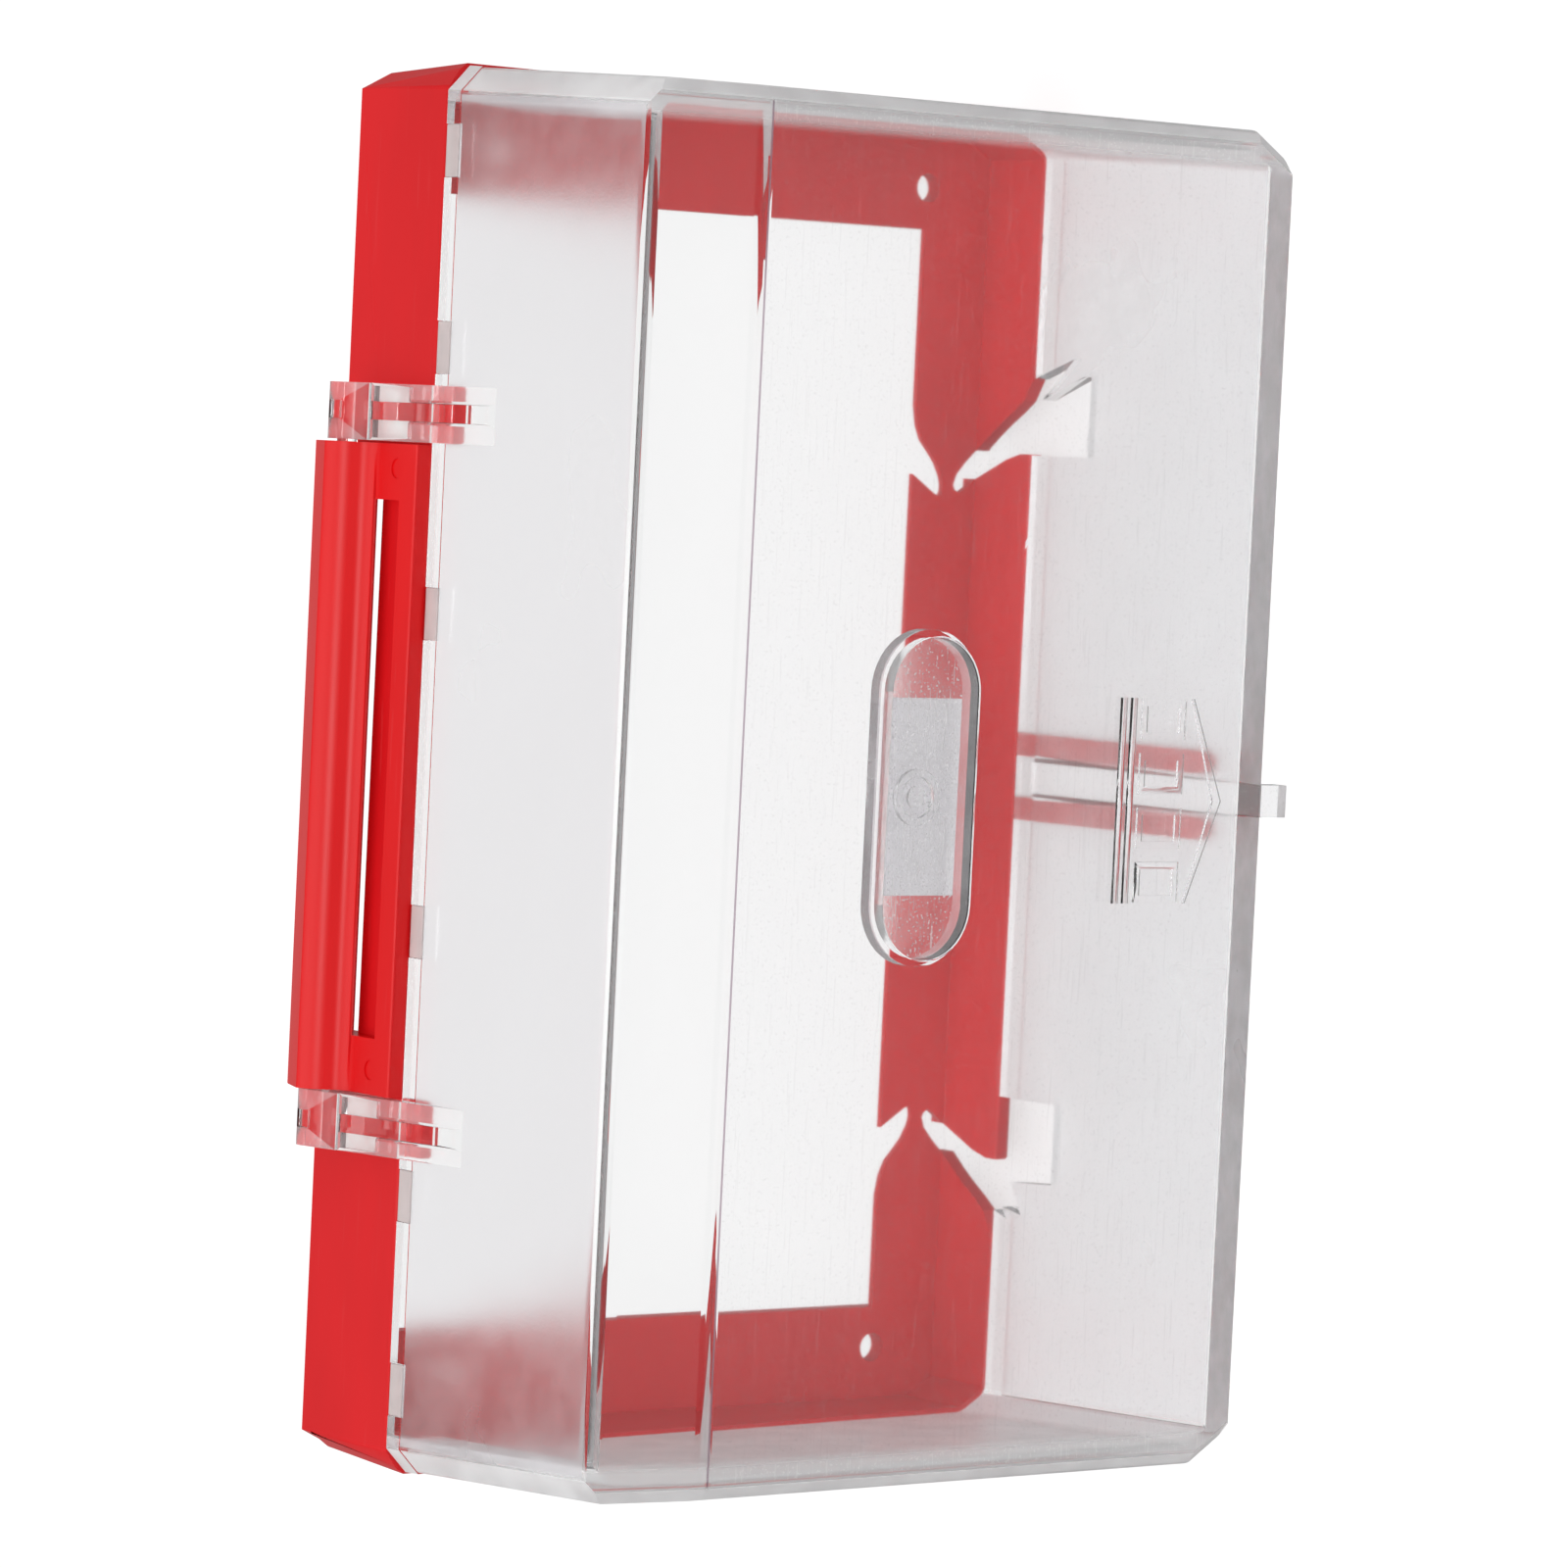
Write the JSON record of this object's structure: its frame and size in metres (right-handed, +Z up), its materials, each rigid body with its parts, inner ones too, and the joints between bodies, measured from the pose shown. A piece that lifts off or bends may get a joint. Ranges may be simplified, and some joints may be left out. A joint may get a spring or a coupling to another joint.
{
  "type": "manual call point guard",
  "caption": "Wall-mounted lift-up guard for a manual call point: open red frame with a hinged clear cover.",
  "frame": {"origin": "on the wall plane, at the middle of the four screw holes", "axes": "+X along the hinge, -Y out of the wall towards the user, +Z up on the wall"},
  "size_m": [0.1784, 0.063, 0.1152],
  "materials": {
    "red_frame_plastic": "satin moulded",
    "red_hinge_plastic": "gloss moulded",
    "clear_plastic": "clear, with fine grain on the hinge side and in the pocket",
    "pad_plastic": "soft translucent",
    "label_film": "blank film"
  },
  "bodies": {
    "frame": {"base_frame": "red_frame_plastic", "hinge_block": "red_hinge_plastic"},
    "cover": {"clear_cover": "clear_plastic", "pocket_label": "label_film", "rim_pad_1": "pad_plastic", "rim_pad_2": "pad_plastic", "rim_pad_3": "pad_plastic", "rim_pad_4": "pad_plastic", "rim_pad_5": "pad_plastic", "rim_pad_6": "pad_plastic"}
  },
  "joints": [
    {"name": "cover_hinge", "type": "hinge", "parent": "frame", "child": "cover", "pos_m": [0, -0.0043, 0.0596], "axis": [-1, 0, 0], "range_deg": [0, 95]}
  ]
}
